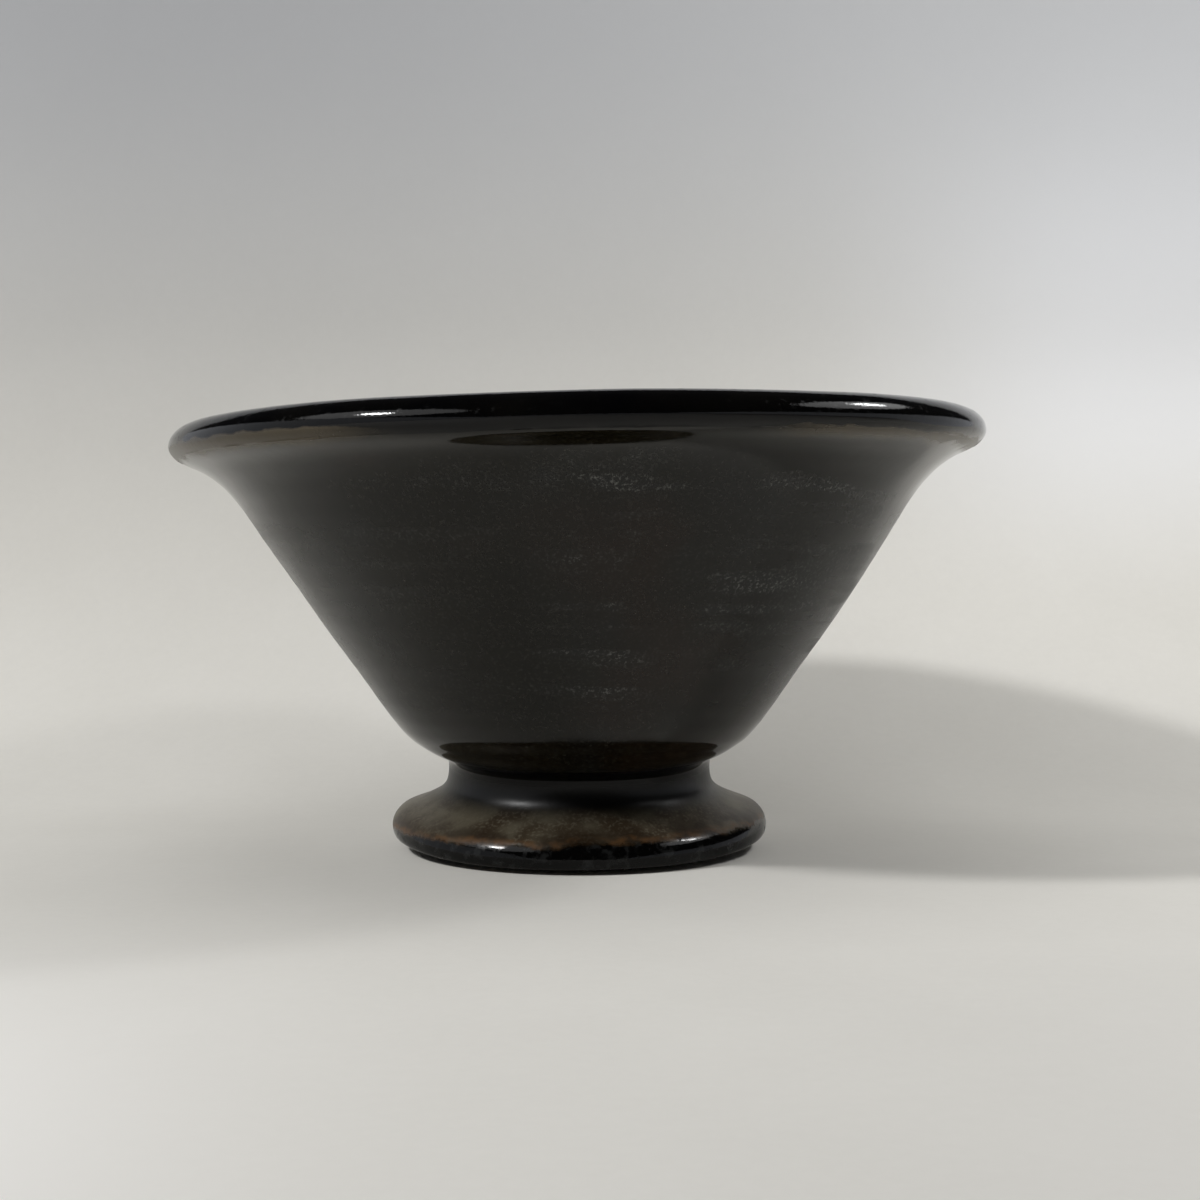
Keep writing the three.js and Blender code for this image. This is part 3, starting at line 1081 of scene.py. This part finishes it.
ragged = ragged_height(sketch, place, 180, WALL_BRONZE_RAGGED)
to_right = sketch.rise(x, -20 * MM, 20 * MM)
bronze_start = sketch.slide(to_right, WALL_BRONZE_LEFT, WALL_BRONZE_RIGHT)
high = sketch.rise(sketch.minus(ragged, bronze_start), 0.0, WALL_BRONZE_FADE)
bronze = sketch.times(high, beside_front(sketch, place))
sketch.feed(shader.inputs["Base Color"], sketch.blend(bronze, tone, BRONZE))
sketch.feed(shader.inputs["Metallic"], sketch.times(bronze, BRONZE_METAL))
held = sketch.band(height, *HELD_BAND)
uneven = sketch.times(sketch.minus(sketch.noise(place, 90, 4), 0.5), UNEVEN)
roughness = sketch.plus(sketch.slide(held, GLOSSY, SATIN), uneven)
roughness = sketch.plus(roughness, sketch.times(worn, WORN_ROUGHER))
roughness = sketch.slide(bronze, roughness, BRONZE_ROUGHNESS)
sketch.feed(shader.inputs["Roughness"], sketch.slide(scuffs, roughness, SCUFFED))
shader.inputs["IOR"].default_value = BROWN_IOR
add_bump(sketch, shader, sketch.noise(place, 500, 3), WALL_BUMP)
thrown("brown_wall", "outer_glaze", brown_glaze, {"Seed": 1.0})

# %% [markdown]
# ## The bronze foot glaze
# On the slope of the foot the glaze is thin, like old bronze: a mottle of two browns under a fine grain.
# On the neck and over the round edge it pooled black and glossy. Towards the neck the slope darkens to that
# black, partly for the pooled glaze and partly as painted shade under the bowl. The border above the edge
# follows the height above the table, not the ring of the wheel, because the glaze ran down.

# %% Bronze glaze: slope
METAL_DARK = (0.044, 0.031, 0.018, 1)
METAL_PALE = (0.1, 0.086, 0.058, 1)
METAL_GRAIN = (0.125, 0.108, 0.076, 1)
METAL_GRAIN_SHARE = 0.75
BORDER_WANDER = 2.4 * MM
BORDER_TILT = -0.02

bronze_glaze, sketch, shader = new_material("bronze glaze")
place = object_place(sketch)
x, _, z = sketch.split(place)
height = wheel_height(sketch)
wander = sketch.times(sketch.minus(sketch.noise(place, 240, 5, 0.6), 0.5), BORDER_WANDER)
above_table = sketch.plus(sketch.plus(z, wander), sketch.times(x, BORDER_TILT))
above_edge = sketch.rise(above_table, 4.9 * MM, 6.2 * MM)
# the slope fades to black towards the neck: partly pooled black glaze, partly painted shade under the bowl
below_shaded_neck = sketch.rise(height, 14.2 * MM, 10.2 * MM)
slope = sketch.times(above_edge, below_shaded_neck)

grain = sketch.noise(place, 1500, 3)
mottle = sketch.rise(sketch.noise(place, 150, 5), 0.36, 0.64)
metal = sketch.blend(mottle, METAL_DARK, METAL_PALE)
grains = sketch.times(sketch.rise(grain, 0.48, 0.66), METAL_GRAIN_SHARE)
metal = sketch.blend(grains, metal, METAL_GRAIN)
print("nodes for the slope:", len(bronze_glaze.node_tree.nodes))

# %% [markdown]
# Low on the slope lie dark rusty patches, and a thin, broken red-brown line runs along the black edge. On
# the edge itself there are faint grey smears.

# %% Bronze glaze: edge
DARK_RUST = (0.02, 0.011, 0.005, 1)
RUST_SHARE = 0.75
RED_BROWN = (0.1, 0.05, 0.019, 1)
RED_SHARE = 0.85
RED_BAND = (5.0 * MM, 5.5 * MM, 6.0 * MM, 7.0 * MM)
EDGE_BLACK = (0.0014, 0.0013, 0.0012, 1)
SMEAR = (0.022, 0.023, 0.023, 1)
SMEAR_SHARE = 0.6
FOOT_METAL = 0.15

low = sketch.rise(above_table, 9.5 * MM, 6.8 * MM)
patches = sketch.times(low, sketch.rise(sketch.noise(place, 110, 4), 0.36, 0.52))
metal = sketch.blend(sketch.times(patches, RUST_SHARE), metal, DARK_RUST)
line_breaks = sketch.rise(sketch.noise(place, 300, 3), 0.36, 0.62)
red_line = sketch.times(sketch.band(above_table, *RED_BAND), line_breaks)
metal = sketch.blend(sketch.times(red_line, RED_SHARE), metal, RED_BROWN)
# the slope's colour over the black; its darkening towards the neck is partly painted shade
tone = sketch.blend(slope, EDGE_BLACK, metal)
below_edge = sketch.minus(1.0, above_edge)
smear = sketch.times(sketch.rise(sketch.noise(place, 420, 4), 0.52, 0.7), below_edge)
tone = sketch.blend(sketch.times(smear, SMEAR_SHARE), tone, SMEAR)
sketch.feed(shader.inputs["Base Color"], tone)
sketch.feed(shader.inputs["Metallic"], sketch.times(slope, FOOT_METAL))
print("nodes with the edge:", len(bronze_glaze.node_tree.nodes))

# %% [markdown]
# The gloss goes with the colour: mirror-like on the neck and the edge, worn dull in places on the edge,
# satin where the neck turns into the slope, and nearly matt on the slope.

# %% Bronze glaze: gloss
FOOT_IOR = 1.28
EDGE_ROUGHNESS = 0.07
DULL_EDGE_ROUGHNESS = 0.3
NECK_ROUGHNESS = 0.09
TURN_ROUGHNESS = 0.35
SMOOTH_SLOPE_ROUGHNESS = 0.3
GRAINY_SLOPE_ROUGHNESS = 0.5
FOOT_BUMP = 0.02 * MM
FOOT_INPUTS = {"Edge Waver": 0.15 * MM, "Seed": 5.0}

dull = sketch.rise(sketch.noise(place, 700, 3), 0.52, 0.66)
on_edge = sketch.slide(dull, EDGE_ROUGHNESS, DULL_EDGE_ROUGHNESS)
satin = sketch.rise(height, 18.5 * MM, 16.3 * MM)
matt = sketch.rise(height, 14 * MM, 11.5 * MM)
on_slope = sketch.slide(grain, SMOOTH_SLOPE_ROUGHNESS, GRAINY_SLOPE_ROUGHNESS)
on_turn = sketch.slide(matt, TURN_ROUGHNESS, on_slope)
above = sketch.slide(satin, NECK_ROUGHNESS, on_turn)
sketch.feed(shader.inputs["Roughness"], sketch.slide(above_edge, on_edge, above))
shader.inputs["IOR"].default_value = FOOT_IOR
add_bump(sketch, shader, sketch.noise(place, 900, 3), FOOT_BUMP)
thrown("bronze_foot", "foot_glaze", bronze_glaze, FOOT_INPUTS)

# %% [markdown]
# ## The bare clay and the slip
# Fired stoneware is a warm grey-brown body with dark specks of iron, here the middles of the cells of a
# Voronoi pattern. The ring under the foot was left bare so that the bowl wouldn't stick to the kiln
# shelf. The slip is the same clay, finer and a little paler. Neither shows throwing marks.

# %% Clay and slip
CLAY_DARK = (0.11, 0.072, 0.046, 1)
CLAY_PALE = (0.21, 0.145, 0.098, 1)
IRON = (0.025, 0.016, 0.011, 1)
SLIP_DARK = (0.17, 0.11, 0.07, 1)
SLIP_PALE = (0.25, 0.17, 0.11, 1)
CLAY_ROUGHNESS = 0.85
CLAY_BUMP = 0.08 * MM
SLIP_ROUGHNESS = 0.9
SLIP_BUMP = 0.05 * MM
SPONGED = {"Ring Depth": 0.0, "Lump Depth": 0.0}

stoneware, sketch, shader = new_material("bare stoneware")
place = object_place(sketch)
grain = sketch.noise(place, 900, 4, 0.65)
cells = sketch.node("ShaderNodeTexVoronoi", {"Vector": place, "Scale": 700})
iron = sketch.rise(cells.outputs["Distance"], 0.22, 0.12)
tone = sketch.blend(grain, CLAY_DARK, CLAY_PALE)
sketch.feed(shader.inputs["Base Color"], sketch.blend(iron, tone, IRON))
shader.inputs["Roughness"].default_value = CLAY_ROUGHNESS
add_bump(sketch, shader, grain, CLAY_BUMP)
thrown("clay_body", "bowl_body", stoneware, SPONGED)
thrown("clay_foot", "pedestal_foot", stoneware, SPONGED)

slip_clay, sketch, shader = new_material("slip")
grain = sketch.noise(object_place(sketch), 1200, 4, 0.6)
sketch.feed(shader.inputs["Base Color"], sketch.blend(grain, SLIP_DARK, SLIP_PALE))
shader.inputs["Roughness"].default_value = SLIP_ROUGHNESS
add_bump(sketch, shader, grain, SLIP_BUMP)
thrown("slip_ring", "luting_slip", slip_clay, SPONGED)

# %% [markdown]
